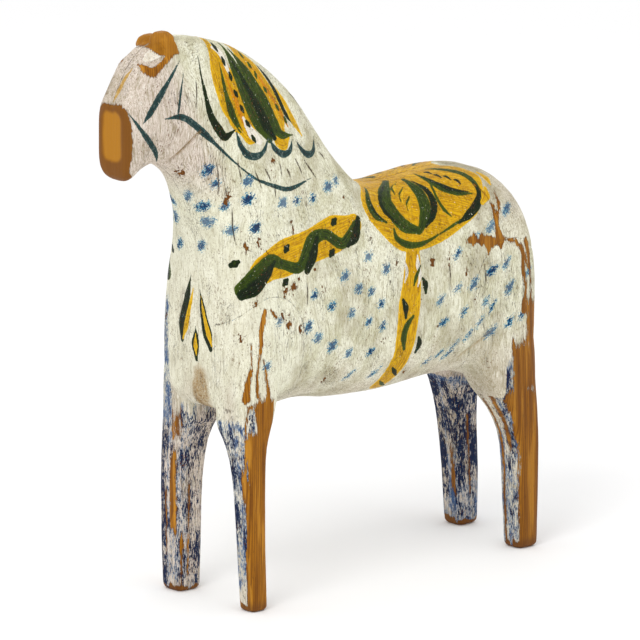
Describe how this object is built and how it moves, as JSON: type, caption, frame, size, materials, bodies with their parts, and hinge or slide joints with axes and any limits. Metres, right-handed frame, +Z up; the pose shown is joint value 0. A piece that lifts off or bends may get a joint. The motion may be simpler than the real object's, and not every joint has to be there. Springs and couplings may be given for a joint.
{
  "type": "dala horse",
  "caption": "Standing carved and painted wooden horse, built up from glued boards and dowels, for display.",
  "frame": {"origin": "on the ground, under the middle of the horse's length and width", "axes": "+Z up, -Y the way the horse looks, +X its left side"},
  "size_m": [0.0836, 0.3068, 0.346],
  "materials": {
    "painted_barrel": "old cream paint over pine, with painted decoration",
    "worn_legs": "worn grey and blue paint over bare pine",
    "dowels": "bare birch"
  },
  "bodies": {
    "root": {"left_centre_board": "painted_barrel", "right_centre_board": "painted_barrel", "left_fore_leg": "worn_legs", "right_fore_leg": "worn_legs", "left_hind_leg": "worn_legs", "right_hind_leg": "worn_legs", "upper_shoulder_dowel": "dowels", "lower_shoulder_dowel": "dowels", "upper_haunch_dowel": "dowels", "lower_haunch_dowel": "dowels", "neck_dowel": "dowels", "withers_dowel": "dowels", "loin_dowel": "dowels"}
  },
  "joints": []
}
